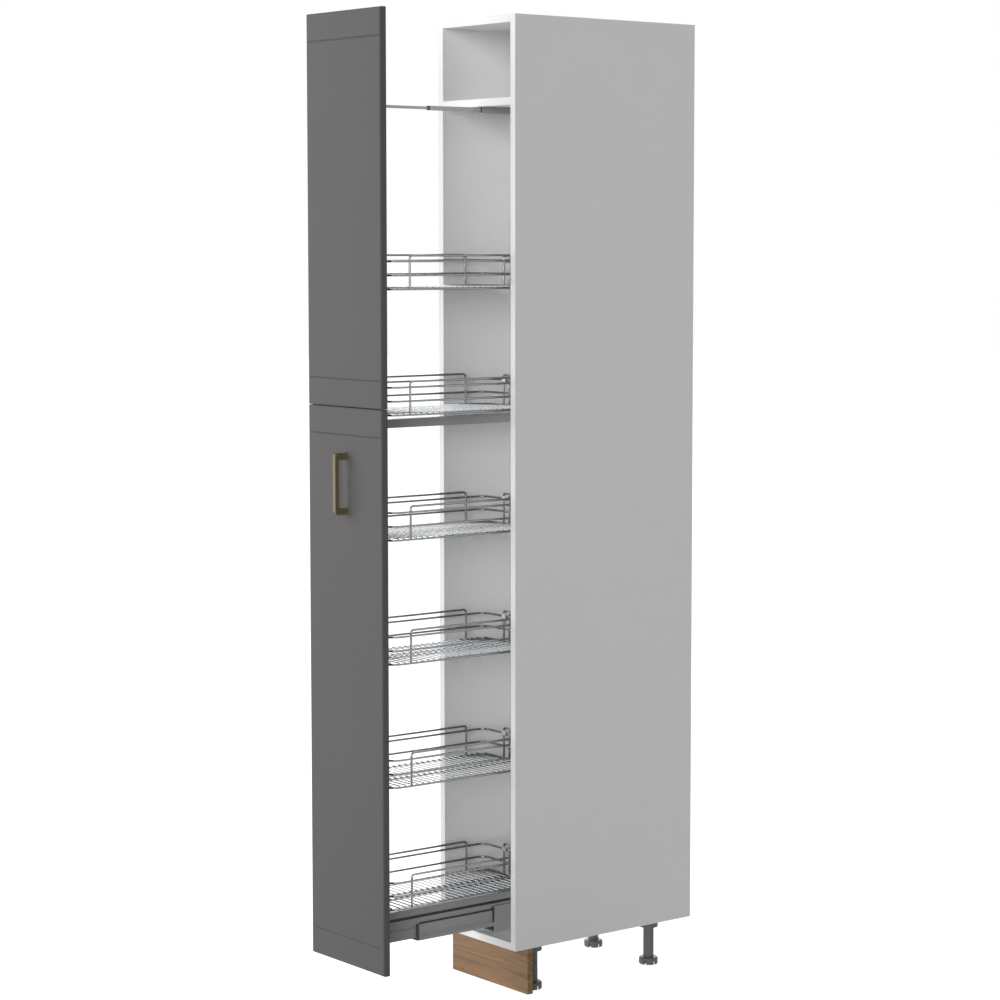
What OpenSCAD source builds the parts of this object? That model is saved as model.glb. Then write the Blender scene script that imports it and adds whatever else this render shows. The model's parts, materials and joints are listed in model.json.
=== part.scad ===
// Tall pull-out kitchen cabinet, shown with its pull-out frame drawn forward.
// X runs across the front, Y runs from the front to the back, Z is up from the floor.
// The origin lies on the floor, midway across the width and midway along the drawn-out depth.
// The pull-out pieces are placed as if the cabinet were shut, and out() then draws them forward.

/* [Carcass] */
// Overall width of the cabinet
carcass_w = 300; // [290:5:400]
// Depth of the side panels
carcass_d = 560; // [540:5:620]
// Height of the side panels
carcass_h = 2224; // [2180:1:2400]
// Thickness of the coated boards
board_t = 18; // [16:1:20]
// Thickness of the back panel
back_t = 4; // [3:0.5:6]
// Distance from the rear edges to the back panel
back_inset = 18; // [12:1:24]
// Depth of the grooves that hold the back panel
groove_depth = 8; // [5:0.5:9]
// Clear height of the open compartment at the top
cubby_h = 174; // [120:1:240]

/* [Legs and plinth] */
// Height of the legs, from the floor to the carcass
leg_h = 112; // [100:1:140]
// Distance from each side face to the leg centres
leg_side_inset = 42; // [38:1:70]
// Distance from the front edges to the front leg centres
leg_front_inset = 84.5; // [80:0.5:130]
// Distance from the rear edges to the rear leg centres
leg_rear_inset = 102; // [60:1:140]
// Diameter of the leg columns
leg_column_d = 26.5; // [26:0.5:30]
// Diameter of the round feet
foot_d = 47.5; // [42:0.5:56]
// Height of the round feet
foot_h = 17.5; // [16:0.5:28]
// Diameter of the threaded stems on the feet
foot_stem_d = 20; // [16:0.5:20]
// Height of the flanges between the legs and the carcass
flange_h = 17.5; // [14:0.5:22]
// Thickness of the plinth board
plinth_t = 16; // [12:1:18]
// Distance from the front edges to the plinth face
plinth_setback = 37; // [20:1:40]

/* [Doors] */
// Thickness of the doors
door_t = 17; // [16:0.5:22]
// Gap between a door's edge and the cabinet's side face
door_side_gap = 2; // [1:0.5:4]
// Height of the lower door
lower_door_h = 1312; // [1200:1:1340]
// Gap between the two doors
door_gap = 1.2; // [1:0.1:5]
// Distance from the carcass bottom to the lower door
door_bottom_gap = 2; // [0:0.5:6]
// Distance from the upper door to the carcass top
door_top_gap = 3; // [1:0.5:6]
// Radius of the doors' front edges
door_edge_r = 4; // [1:0.5:5]
// Distance from a door's end to its groove
groove_inset = 64; // [40:1:90]
// Width of the grooves across the doors
groove_w = 4; // [2:0.5:6]
// Depth of the grooves across the doors
groove_deep = 2; // [1:0.5:4]

/* [Handle] */
// Distance between the two screws of the handle
handle_spacing = 128; // [96:32:192]
// Distance from the lower door's top to the handle centre
handle_drop = 177; // [150:1:260]
// Distance that the handle stands out from the door
handle_out = 30; // [24:1:40]
// Thickness of the square grip
handle_bar = 10; // [8:0.5:14]
// Radius of the grip's outer corners
handle_corner_r = 8; // [2:0.5:9]
// Width of the square bases of the handle
handle_base = 17.5; // [17:0.5:24]

/* [Pull-out frame] */
// Distance that the doors are drawn out
travel = 365; // [250:1:380]
// Gap between the shut doors and the carcass
closed_gap = 2.5; // [2:0.5:4]
// Gap between the shut frame and the back panel
rear_gap = 34.5; // [20:0.5:60]
// Width of the uprights and bars
tube_w = 30; // [20:1:30]
// Depth of the uprights from front to back
tube_d = 25; // [20:1:30]
// Wall of the uprights and bars
tube_wall = 1.5; // [1.2:0.1:2]
// Height of the middle bar
bar_h = 20; // [16:1:25]
// Height of the bottom bar
bottom_bar_h = 17; // [14:1:25]
// Height of the rear upright above the top basket's floor
rear_upright_over = 160; // [120:1:200]
// Distance from a basket's floor ring down to the middle bar
middle_bar_drop = 16; // [12:1:40]
// Thickness of the door brackets
bracket_t = 2; // [1.5:0.5:3]
// Height of the door brackets
bracket_h = 50; // [30:1:70]
// Width of the door brackets on the door
bracket_w = 34; // [26:1:50]

/* [Baskets] */
// Distance between two baskets
basket_pitch = 289; // [240:1:300]
// Distance from the bottom bar up to the lowest floor ring
first_basket_gap = 31.4; // [12:0.2:50]
// Gap between the baskets and the side panels
basket_side_gap = 21; // [12:0.5:40]
// Gap between a basket's end and the upright
basket_end_gap = 2.5; // [2.5:0.5:5]
// Diameter of the rail wires
wire_d = 5; // [4:0.5:6]
// Diameter of the cross wires of the floor
cross_wire_d = 3; // [2.5:0.25:4]
// Distance between two cross wires
cross_pitch = 17; // [10:0.5:20]
// Distance from the middle to the two lengthwise wires under the floor
bearer_x = 17.5; // [8:0.5:60]
// Radius of the rail corners
rail_corner_r = 25; // [15:1:40]
// Height of the middle rail above the floor ring
middle_rail_h = 32; // [26:1:36]
// Height of the upper rail above the floor ring
upper_rail_h = 64; // [60:1:80]
// Height of the side guards above the floor ring
guard_h = 77; // [70:1:100]
// Distance from a basket's end to the guard legs
guard_inset = 59; // [40:1:120]
// Radius of the guard corners
guard_r = 7; // [6:1:15]
// Distance that a basket lifts to come off its hooks
basket_lift = 20; // [10:1:22]

/* [Bottom runner] */
// Width of the runner housing
runner_w = 60; // [58:1:80]
// Height of the runner housing
runner_h = 65; // [62:1:67]
// Distance from the front edges to the housing
runner_front = 30; // [27:1:50]
// Distance from the housing to the back panel
runner_rear = 8; // [2:1:20]
// Length of the middle member
middle_len = 460; // [420:1:465]
// Length of the inner member
inner_len = 480; // [440:1:485]
// Diameter of the balls
ball_d = 6; // [5:0.25:6.5]

/* [Top guide] */
// Height of the fixed guide rail
guide_h = 13.2; // [13:0.2:18]
// Distance from the front edges to the guide rail
guide_front = 14; // [8:1:20]
// Distance from the guide rail to the back panel
guide_rear = 30; // [10:1:60]
// Length of the middle guide
guide_middle_len = 440; // [380:1:450]
// Length of the inner guide
guide_inner_len = 378; // [320:1:420]

/* [Hidden] */
$fn = 32;

// Colours
white_board = "#ECECEA";
grey_front = "#72716F";
oak = "#9C7A54";
steel = "#84888A";
zinc = "#B4B8BA";
brass = "#8A7A58";
dark_plastic = "#555759";
pale_plastic = "#D8D8D4";
beech = "#C9A877";
rubber = "#3A3A3A";

// Clearances
seat = 0.05;          // between wires and pieces that rest on each other
fit = 0.1;            // round a screw, dowel or stem in its hole, on the radius
slide_gap = 0.3;      // between the members of the top guide
eps = 1;              // how far a cut runs past a face

// Carcass
inner_w = carcass_w - 2 * board_t;
back_y = carcass_d - back_inset - back_t;
shelf_z = carcass_h - 2 * board_t - cubby_h;
panel_zs = [0, shelf_z, carcass_h - board_t];
groove_play = 0.4;

// Cam fittings and dowels, at the same depths in every panel
cam_reach = 34;
cam_d = 15;
cam_depth = 12.5;
cam_shank_d = 6;
cam_thread_d = 5;
cam_thread_len = 11;
cam_head_d = 7;
cam_head_t = 4;
cam_slot_w = 1.6;
cam_slot_deep = 1.5;
cam_slot_len = 10;
dowel_d = 8;
dowel_len = 30;
dowel_in_side = 12;
cam_ys = [50, back_y - 46];
dowel_ys = [24, back_y - 20];

// Angle that ties the cabinet to the wall
wall_angle_leg = 40;
wall_angle_w = 30;
wall_angle_t = 2.5;
wall_hole_d = 6.5;
wall_hole_drop = 24;
wall_screw_inset = 10;
wall_screw_y = back_y - wall_angle_leg + wall_screw_inset;
wood_screw_d = 4;
wood_screw_head_d = 8;
wood_screw_len = 14;
head_t = 2;

// Legs
leg_x = carcass_w / 2 - leg_side_inset;
leg_ys = [leg_front_inset, carcass_d - leg_rear_inset];
flange_d = foot_d;
flange_seat = 8;
flange_chamfer = 1;
flange_screw_d = 3.5;
flange_screw_head_d = 6.5;
flange_screw_len = 18;
flange_screw_r = (leg_column_d + flange_d) / 4;
flange_boss_wall = 2.5;
flange_boss_h = 16;
stem_len = 45;
foot_play = 0.3;
foot_notches = 6;
foot_notch_w = 5;
foot_notch_h = 11;
foot_chamfer = 2.5;
foot_edge = 1.5;
foot_skirt = 3.5;
foot_roof = 5;

// Plinth
plinth_gap = 0.5;
clip_wall = 3;
clip_h = 20;
clip_plate = 40;
clip_wrap = 3;
clip_screw_dx = 14;
clip_z = leg_h / 2;

// Doors, given as heights above the carcass bottom
door_w = carcass_w - 2 * door_side_gap;
lower_door_top = door_bottom_gap + lower_door_h;
upper_door_z = lower_door_top + door_gap;
upper_door_h = carcass_h - door_top_gap - upper_door_z;
handle_z = lower_door_top - handle_drop;
handle_base_t = 3;
handle_leg = 15;
handle_inner_r = 4;
handle_screw_d = 4;
handle_screw_head_d = 8;
handle_screw_grip = 10;

// Runner, given as heights above the carcass floor
runner_wall = 3;
runner_base_t = 2;
runner_flange_t = 2;
member_wall = 3;
inner_wall = 3;
ball_gap = 0.45 * ball_d;
raceway_r = ball_d / 2 + 0.15;
middle_half = runner_w / 2 - runner_wall - ball_gap;
inner_half = middle_half - member_wall - ball_gap;
outer_ball_x = middle_half + ball_gap / 2;
inner_ball_x = inner_half + ball_gap / 2;
outer_ball_z = 30;
inner_ball_z = 48;
middle_z = 15;
middle_h = 39;
middle_lip_w = 1.7;
middle_lip_h = 9;
inner_z = 21;
inner_h = 48;
slot_play = 2.2;
middle_front = 26;
inner_front = 2;
middle_share = 0.6;
outer_cage_share = middle_share / 2;
inner_cage_share = (1 + middle_share) / 2;
ball_pitch = 22;
outer_cage_balls = 8;
inner_cage_balls = 10;
outer_cage_y = 142;
inner_cage_y = 102;
cage_t = 0.9;
cage_h = 9;
cage_over = 3.5;
cage_play = 0.3;
stop_gap = 1;
stop_len = 13;
stop_w = 24;
stop_h = 34;
housing_screw_x = 15;
runner_len = back_y - runner_rear - runner_front;
housing_screw_inset = 50;
housing_screw_ys = [runner_front + housing_screw_inset, runner_front + runner_len / 2,
    runner_front + runner_len - housing_screw_inset];

// Pull-out frame; the bottom bar stands on the runner's inner member
spacer_t = 6;
spacer_d = 16;
bar_bolt_d = 6;
bar_bolt_head_d = 10;
bar_bolt_head_t = 3;
nut_af = 10;
nut_t = 5;
bottom_bar_z = board_t + inner_z + inner_h + spacer_t;
bottom_bar_top = bottom_bar_z + bottom_bar_h;
upright_front = -closed_gap + bracket_t;
frame_rear = back_y - rear_gap;
bar_y0 = upright_front + tube_d;
bar_y1 = frame_rear - tube_d;
bar_bolt_front = 27.5;
bar_bolt_rear = 46.5;
bar_bolt_y0 = bar_y0 + bar_bolt_front;
bar_bolt_y1 = bar_y1 - bar_bolt_rear;
bar_bolt_ys = [bar_bolt_y0, (bar_bolt_y0 + bar_bolt_y1) / 2, bar_bolt_y1];
plug_len = 20;
plug_play = 0.2;
access_d = 11;
cap_t = 2;
cap_stub = 12;

// Top guide, given as heights below the fixed shelf
guide_wall = 1.2;
guide_w = 10;
guide_bracket_t = 2;
guide_bracket_w = 24;
guide_middle_web = 1.8;
guide_inner_h = 6.6;
guide_middle_front = 44;
guide_screw_inset = 40;
guide_share = 0.5;
guide_top_gap = 0.2;
guide_z = guide_h + guide_top_gap;
guide_screw_ys = [guide_front + guide_screw_inset, (guide_front + back_y - guide_rear) / 2,
    back_y - guide_rear - guide_screw_inset];
post_t = 7;
post_base_t = 2;
post_gap = 1;
upright_top = shelf_z - guide_z - guide_bracket_t - post_base_t - post_gap;

// Baskets
first_basket_z = bottom_bar_top + first_basket_gap;
basket_half = inner_w / 2 - basket_side_gap - wire_d / 2;
loop_y = bar_y0 + basket_end_gap + wire_d / 2;
basket_y0 = loop_y + wire_d + seat;
basket_y1 = bar_y1 - basket_end_gap - 1.5 * wire_d - seat;
basket_mid_y = (basket_y0 + basket_y1) / 2;
basket_inner_half = basket_half - wire_d - seat;
cross_z = wire_d / 2 + cross_wire_d / 2 + seat;
loop_x = 22.5;
loop_half = 11.3;
loop_h = 75;
loop_r = 4;
middle_bar_z = basket_z(5) - middle_bar_drop - bar_h;
rear_upright_top = basket_z(6) + rear_upright_over;

// Hooks that carry the baskets
hook_t = 2;
hook_w = 14;
hook_tip = 9;
hook_plate_h = 22;
hook_gap = 0.3;
hook_screw_d = 4;
hook_screw_head_d = 7;
hook_screw_len = 8;

// Door brackets
bracket_end_gap = 160;
bracket_top_gap = 100;
upright_end_gap = 20;
bracket_zs_lower = [door_bottom_gap + bracket_end_gap, lower_door_top - bracket_top_gap - bracket_h];
bracket_zs_upper = [upper_door_z + bracket_top_gap, upright_top - bracket_h - upright_end_gap];
bracket_side = 20;
bracket_bolt_d = 5;
bracket_bolt_head_d = 9;
bracket_bolt_head_t = 3;
bracket_nut_af = 8;
bracket_nut_t = 4;
door_screw_head_d = 7;
door_screw_inset = 7;
door_screw_dz = 15;
door_screw_x = [tube_w / 2 + bracket_t + door_screw_inset, tube_w / 2 + bracket_w - door_screw_inset];

// Place of the whole model, so that its drawn-out depth is centred on the origin
reach_out = travel + closed_gap + door_t + handle_out;
front_y = (reach_out - carcass_d) / 2;

function basket_z(n) = first_basket_z + (n - 1) * basket_pitch;

// Puts a piece of the standing cabinet in its place
module at_carcass() {
    translate([0, front_y, leg_h]) children();
}

// Draws a piece forward by its share of the travel
module out(share) {
    at_carcass() translate([0, -share * travel, 0]) children();
}

// Copies a piece to both sides
module both_sides() {
    children();
    mirror([1, 0, 0]) children();
}

// A round bar between two heights, from y0 to y1, or from x0 to x1
module rod_z(d, z0, z1) {
    translate([0, 0, z0]) cylinder(d = d, h = z1 - z0);
}

module rod_y(d, y0, y1) {
    translate([0, y0, 0]) rotate([-90, 0, 0]) cylinder(d = d, h = y1 - y0);
}

module rod_x(d, x0, x1) {
    translate([x0, 0, 0]) rotate([0, 90, 0]) cylinder(d = d, h = x1 - x0);
}

// Extrudes a section drawn in X and Z along Y
module along_y(y0, y1) {
    translate([0, y1, 0]) rotate([90, 0, 0]) linear_extrude(y1 - y0) children();
}

// Extrudes a section drawn in Y and Z along X, centred on X
module along_x(w) {
    translate([-w / 2, 0, 0]) rotate([90, 0, 90]) linear_extrude(w) children();
}

// A pan-headed screw that points down from its head
module screw_down(d, head_d, len) {
    rod_z(d, -len, 0);
    rod_z(head_d, 0, head_t);
}

// Carcass

// The holes that a side panel has for one horizontal panel
module side_joint_holes(z) {
    for (y = cam_ys)
        translate([inner_w / 2 - eps, y, z]) rod_x(cam_thread_d + 2 * fit, 0, cam_thread_len + eps + fit);
    for (y = dowel_ys)
        translate([inner_w / 2 - eps, y, z]) rod_x(dowel_d + 2 * fit, 0, dowel_in_side + eps + fit);
}

module side_panel() {
    color(white_board) at_carcass() difference() {
        translate([inner_w / 2, 0, 0]) cube([board_t, carcass_d, carcass_h]);
        translate([inner_w / 2 - eps, back_y - groove_play / 2, -eps])
            cube([groove_depth + eps, back_t + groove_play, carcass_h + 2 * eps]);
        for (z = panel_zs) side_joint_holes(z + board_t / 2);
    }
}

module side_right() {
    side_panel();
}

module side_left() {
    mirror([1, 0, 0]) side_panel();
}

// A horizontal panel with its cam pockets open downwards
module cross_panel(depth) {
    difference() {
        translate([-inner_w / 2, 0, 0]) cube([inner_w, depth, board_t]);
        both_sides() {
            for (y = cam_ys) {
                translate([inner_w / 2, y, board_t / 2]) rod_x(cam_head_d + 2 * fit, -cam_reach, eps);
                translate([inner_w / 2 - cam_reach, y, 0])
                    rod_z(cam_d + 2 * fit, -eps, cam_depth + fit);
            }
            for (y = dowel_ys)
                translate([inner_w / 2, y, board_t / 2])
                    rod_x(dowel_d + 2 * fit, dowel_in_side - dowel_len - fit, eps);
        }
    }
}

// The groove for the back panel in a full-depth panel, cut from its inner face
module panel_groove() {
    translate([-inner_w / 2 - eps, back_y - groove_play / 2, 0])
        cube([inner_w + 2 * eps, back_t + groove_play, groove_depth + eps]);
}

module top_panel() {
    color(white_board) at_carcass() difference() {
        translate([0, 0, carcass_h]) mirror([0, 0, 1]) cross_panel(carcass_d);
        translate([0, 0, carcass_h - board_t - eps]) panel_groove();
        for (x = [-1, 1])
            translate([x * wall_angle_w / 4, wall_screw_y, carcass_h - board_t])
                rod_z(wood_screw_d + 2 * fit, -eps, wood_screw_len - wall_angle_t);
    }
}

module bottom_panel() {
    color(white_board) at_carcass() difference() {
        cross_panel(carcass_d);
        translate([0, 0, board_t - groove_depth]) panel_groove();
        for (x = [-1, 1], y = leg_ys) translate([x * leg_x, y, 0]) flange_screw_places()
            rod_z(flange_screw_d + 2 * fit, -eps, flange_screw_len - flange_seat + fit);
        for (y = housing_screw_ys) both_sides() translate([housing_screw_x, y, board_t])
            rod_z(wood_screw_d + 2 * fit, runner_base_t - wood_screw_len - fit, eps);
    }
}

module fixed_shelf() {
    color(white_board) at_carcass() translate([0, 0, shelf_z]) difference() {
        cross_panel(back_y - groove_play);
        for (y = guide_screw_ys) translate([guide_screw_x(), y, 0])
            rod_z(wood_screw_d + 2 * fit, -eps, wood_screw_len - guide_bracket_t + fit);
    }
}

module back_panel() {
    w = inner_w + 2 * groove_depth - groove_play;
    h = carcass_h - 2 * board_t + 2 * groove_depth - groove_play;
    color(white_board) at_carcass() difference() {
        translate([-w / 2, back_y, board_t - groove_depth + groove_play / 2]) cube([w, back_t, h]);
        translate([0, back_y, carcass_h - board_t - wall_hole_drop]) rod_y(wall_hole_d, -eps, back_t + eps);
    }
}

module dowels() {
    color(beech) at_carcass() both_sides() for (z = panel_zs, y = dowel_ys)
        translate([inner_w / 2 + dowel_in_side, y, z + board_t / 2]) rod_x(dowel_d, -dowel_len, 0);
}

module cam_bolts() {
    color(steel) at_carcass() both_sides() for (z = panel_zs, y = cam_ys)
        translate([inner_w / 2, y, z + board_t / 2]) {
            rod_x(cam_thread_d, 0, cam_thread_len);
            rod_x(cam_shank_d, -cam_reach, 0);
            rod_x(cam_head_d, -cam_reach - cam_head_t / 2, -cam_reach + cam_head_t / 2);
        }
}

// One cam, seen from the open end of its pocket
module cam_disc() {
    slot = cam_head_d + 4 * fit;
    difference() {
        rod_z(cam_d, 0, cam_depth);
        translate([-cam_head_t / 2 - eps, -slot / 2, board_t / 2 - slot / 2]) cube([cam_d, slot, slot]);
        translate([-cam_slot_len / 2, -cam_slot_w / 2, -eps])
            cube([cam_slot_len, cam_slot_w, eps + cam_slot_deep]);
    }
}

module cam_discs() {
    color(zinc) at_carcass() both_sides() for (z = panel_zs, y = cam_ys)
        translate([inner_w / 2 - cam_reach, y, z]) {
            if (z == panel_zs[2]) translate([0, 0, board_t]) mirror([0, 0, 1]) cam_disc();
            else cam_disc();
        }
}

module wall_angle() {
    color(zinc) at_carcass() translate([-wall_angle_w / 2, back_y, carcass_h - board_t]) difference() {
        union() {
            translate([0, -wall_angle_leg, -wall_angle_t])
                cube([wall_angle_w, wall_angle_leg, wall_angle_t]);
            translate([0, -wall_angle_t, -wall_angle_leg])
                cube([wall_angle_w, wall_angle_t, wall_angle_leg]);
        }
        translate([wall_angle_w / 2, 0, -wall_hole_drop]) rod_y(wall_hole_d, -wall_angle_t - eps, eps);
        for (x = [1, 3]) translate([x * wall_angle_w / 4, wall_screw_inset - wall_angle_leg, 0])
            rod_z(wood_screw_d + 2 * fit, -wall_angle_t - eps, eps);
    }
}

module wall_angle_screws() {
    color(zinc) at_carcass() both_sides()
        translate([wall_angle_w / 4, wall_screw_y, carcass_h - board_t - wall_angle_t])
            mirror([0, 0, 1]) screw_down(wood_screw_d, wood_screw_head_d, wood_screw_len - fit);
}

// Legs and plinth

module flange_screw_places() {
    for (a = [45 : 90 : 315]) rotate(a) translate([flange_screw_r, 0, 0]) children();
}

module leg_flanges() {
    boss_d = leg_column_d - 2 * flange_boss_wall;
    color(dark_plastic) at_carcass() both_sides() for (y = leg_ys) translate([leg_x, y, 0]) difference() {
        union() {
            rod_z(flange_d, flange_chamfer - flange_h, 0);
            translate([0, 0, -flange_h])
                cylinder(d1 = flange_d - 2 * flange_chamfer, d2 = flange_d, h = flange_chamfer);
            rod_z(boss_d, -flange_h - flange_boss_h, 0);
        }
        flange_screw_places() {
            rod_z(flange_screw_d + 2 * fit, -flange_h - eps, eps);
            rod_z(flange_screw_head_d + 4 * fit, -flange_h - eps, -flange_seat);
        }
    }
}

module leg_flange_screws() {
    color(zinc) at_carcass() both_sides() for (y = leg_ys) translate([leg_x, y, -flange_seat])
        flange_screw_places() mirror([0, 0, 1])
            screw_down(flange_screw_d, flange_screw_head_d, flange_screw_len);
}

module leg_columns() {
    z0 = foot_h + foot_play - leg_h;
    boss_d = leg_column_d - 2 * flange_boss_wall;
    color(dark_plastic) at_carcass() both_sides() for (y = leg_ys) translate([leg_x, y, 0]) difference() {
        rod_z(leg_column_d, z0, -flange_h);
        rod_z(foot_stem_d + 2 * fit, z0 - eps, -flange_h + eps);
        rod_z(boss_d + 2 * fit, -flange_h - flange_boss_h - fit, -flange_h + eps);
    }
}

// One levelling foot on its stem, with a notched skirt round the hollow under it
module foot(x, y) {
    color(dark_plastic) at_carcass() translate([x, y, -leg_h]) {
        difference() {
            union() {
                cylinder(d1 = foot_d - 2 * foot_edge, d2 = foot_d, h = foot_edge);
                rod_z(foot_d, foot_edge, foot_h - foot_chamfer);
                translate([0, 0, foot_h - foot_chamfer])
                    cylinder(d1 = foot_d, d2 = foot_d - 2 * foot_chamfer, h = foot_chamfer);
            }
            rod_z(foot_d - 2 * foot_skirt, -eps, foot_h - foot_roof);
            for (a = [0 : 360 / foot_notches : 359]) rotate(a)
                translate([0, -foot_notch_w / 2, -eps]) cube([foot_d, foot_notch_w, foot_notch_h + eps]);
        }
        rod_z(foot_stem_d, 0, foot_h + stem_len);
    }
}

module plinth_board() {
    color(oak) at_carcass() translate([-carcass_w / 2, plinth_setback, plinth_gap - leg_h]) difference() {
        cube([carcass_w, plinth_t, leg_h - 2 * plinth_gap]);
        for (x = clip_screw_xs()) translate([carcass_w / 2 + x, plinth_t, clip_z - plinth_gap])
            rod_y(wood_screw_d + 2 * fit, clip_wall - wood_screw_len - fit, eps);
    }
}

function clip_screw_xs() = [for (s = [-1, 1], dx = [-clip_screw_dx, clip_screw_dx]) s * leg_x + dx];

// A sprung ring round each front leg, on a plate behind the plinth
module plinth_clips() {
    ring_r = leg_column_d / 2 + fit;
    plate_y = plinth_setback + plinth_t;
    color(dark_plastic) at_carcass() both_sides() translate([leg_x, 0, clip_z - leg_h]) difference() {
        union() {
            translate([0, leg_front_inset, -clip_h / 2]) difference() {
                cylinder(r = ring_r + clip_wall, h = clip_h);
                translate([-2 * ring_r, clip_wrap, -eps]) cube([4 * ring_r, 2 * ring_r, clip_h + 2 * eps]);
            }
            translate([-clip_wall / 2, plate_y, -clip_h / 2])
                cube([clip_wall, leg_front_inset - plate_y - ring_r - clip_wall / 2, clip_h]);
            translate([-clip_plate / 2, plate_y, -clip_plate / 2]) cube([clip_plate, clip_wall, clip_plate]);
        }
        translate([0, leg_front_inset, 0]) rod_z(2 * ring_r, -clip_h, clip_h);
        for (dx = [-clip_screw_dx, clip_screw_dx]) translate([dx, plate_y, 0])
            rod_y(wood_screw_d + 2 * fit, -eps, clip_wall + eps);
    }
}

module plinth_clip_screws() {
    color(zinc) at_carcass() for (x = clip_screw_xs())
        translate([x, plinth_setback + plinth_t + clip_wall, clip_z - leg_h])
            rotate([-90, 0, 0]) screw_down(wood_screw_d, wood_screw_head_d, wood_screw_len);
}

// Bottom runner: a housing, a middle member and an inner member on two pairs of ball cages

module runner_housing() {
    slot = 2 * (inner_half + slot_play);
    color(steel) at_carcass() translate([0, 0, board_t]) difference() {
        along_y(runner_front, runner_front + runner_len) difference() {
            translate([-runner_w / 2, 0]) square([runner_w, runner_h]);
            translate([runner_wall - runner_w / 2, runner_base_t])
                square([runner_w - 2 * runner_wall, runner_h - runner_base_t - runner_flange_t]);
            translate([-slot / 2, runner_h - runner_flange_t - eps])
                square([slot, runner_flange_t + 2 * eps]);
            for (s = [-1, 1]) translate([s * outer_ball_x, outer_ball_z]) circle(r = raceway_r);
        }
        for (y = housing_screw_ys) both_sides()
            translate([housing_screw_x, y, 0]) rod_z(wood_screw_d + 2 * fit, -eps, runner_base_t + eps);
    }
}

module runner_housing_screws() {
    color(zinc) at_carcass() for (y = housing_screw_ys) both_sides()
        translate([housing_screw_x, y, board_t + runner_base_t])
            screw_down(wood_screw_d, wood_screw_head_d, wood_screw_len);
}

module runner_end_stop() {
    y = middle_front + middle_len + stop_gap;
    color(rubber) at_carcass() translate([-stop_w / 2, y, board_t + runner_base_t])
        cube([stop_w, stop_len, stop_h]);
}

module runner_middle() {
    color(steel) out(middle_share) translate([0, 0, board_t])
        along_y(middle_front, middle_front + middle_len) difference() {
            union() {
                translate([-middle_half, middle_z]) square([2 * middle_half, middle_h]);
                translate([-middle_half - middle_lip_w, middle_z])
                    square([2 * (middle_half + middle_lip_w), middle_lip_h]);
            }
            translate([member_wall - middle_half, middle_z + member_wall])
                square([2 * (middle_half - member_wall), middle_h]);
            for (s = [-1, 1]) {
                translate([s * outer_ball_x, outer_ball_z]) circle(r = raceway_r);
                translate([s * inner_ball_x, inner_ball_z]) circle(r = raceway_r);
            }
        }
}

module runner_inner() {
    color(steel) out(1) translate([0, 0, board_t]) difference() {
        along_y(inner_front, inner_front + inner_len) difference() {
            translate([-inner_half, inner_z]) square([2 * inner_half, inner_h]);
            translate([inner_wall - inner_half, inner_z - eps])
                square([2 * (inner_half - inner_wall), inner_h - inner_wall + eps]);
            for (s = [-1, 1]) translate([s * inner_ball_x, inner_ball_z]) circle(r = raceway_r);
        }
        for (y = bar_bolt_ys) translate([0, y, inner_z + inner_h])
            rod_z(bar_bolt_d + 2 * fit, -inner_wall - eps, eps);
    }
}

// Two strips of a ball cage up to height z1, one on each side of a member
module ball_cage(x, y0, z, z1, count) {
    z0 = z - cage_h / 2;
    both_sides() difference() {
        translate([x - cage_t / 2, y0, z0]) cube([cage_t, count * ball_pitch, z1 - z0]);
        for (i = [0 : count - 1]) translate([x, y0 + (i + 0.5) * ball_pitch, z])
            rod_x(ball_d + 2 * cage_play, -cage_t, cage_t);
    }
}

module ball_rows(x, y0, z, count) {
    both_sides() for (i = [0 : count - 1])
        translate([x, y0 + (i + 0.5) * ball_pitch, z]) sphere(d = ball_d);
}

module runner_outer_cages() {
    color(dark_plastic) out(outer_cage_share) translate([0, 0, board_t])
        ball_cage(outer_ball_x, outer_cage_y, outer_ball_z, outer_ball_z + cage_h / 2, outer_cage_balls);
}

module runner_outer_balls() {
    color(zinc) out(outer_cage_share) translate([0, 0, board_t])
        ball_rows(outer_ball_x, outer_cage_y, outer_ball_z, outer_cage_balls);
}

module runner_inner_cages() {
    z1 = middle_z + middle_h + cage_over;
    color(dark_plastic) out(inner_cage_share) translate([0, 0, board_t])
        ball_cage(inner_ball_x, inner_cage_y, inner_ball_z, z1, inner_cage_balls);
}

module runner_inner_balls() {
    color(zinc) out(inner_cage_share) translate([0, 0, board_t])
        ball_rows(inner_ball_x, inner_cage_y, inner_ball_z, inner_cage_balls);
}

// Top guide: three nested channels that open to the left, hung from the fixed shelf

function guide_screw_x() = guide_w / 2 + guide_bracket_t + guide_bracket_w / 2;

module guide_bracket() {
    y1 = back_y - guide_rear;
    color(steel) at_carcass() translate([guide_w / 2, 0, shelf_z]) difference() {
        union() {
            translate([0, guide_front, -guide_bracket_t])
                cube([guide_bracket_w + guide_bracket_t, y1 - guide_front, guide_bracket_t]);
            translate([0, guide_front, -guide_z]) cube([guide_bracket_t, y1 - guide_front, guide_z]);
            translate([-guide_w, guide_front, -guide_z - guide_bracket_t])
                cube([guide_w + guide_bracket_t, y1 - guide_front, guide_bracket_t]);
        }
        for (y = guide_screw_ys) translate([guide_screw_x() - guide_w / 2, y, 0])
            rod_z(wood_screw_d + 2 * fit, -guide_bracket_t - eps, eps);
    }
}

module guide_bracket_screws() {
    color(zinc) at_carcass() for (y = guide_screw_ys)
        translate([guide_screw_x(), y, shelf_z - guide_bracket_t])
            mirror([0, 0, 1]) screw_down(wood_screw_d, wood_screw_head_d, wood_screw_len);
}

// A channel section that opens to the left, centred on the guide's height
module guide_channel(x0, x1, h, web, flange) {
    difference() {
        translate([x0, -h / 2]) square([x1 - x0, h]);
        translate([x0 - eps, flange - h / 2]) square([x1 - x0 - web + eps, h - 2 * flange]);
    }
}

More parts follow.
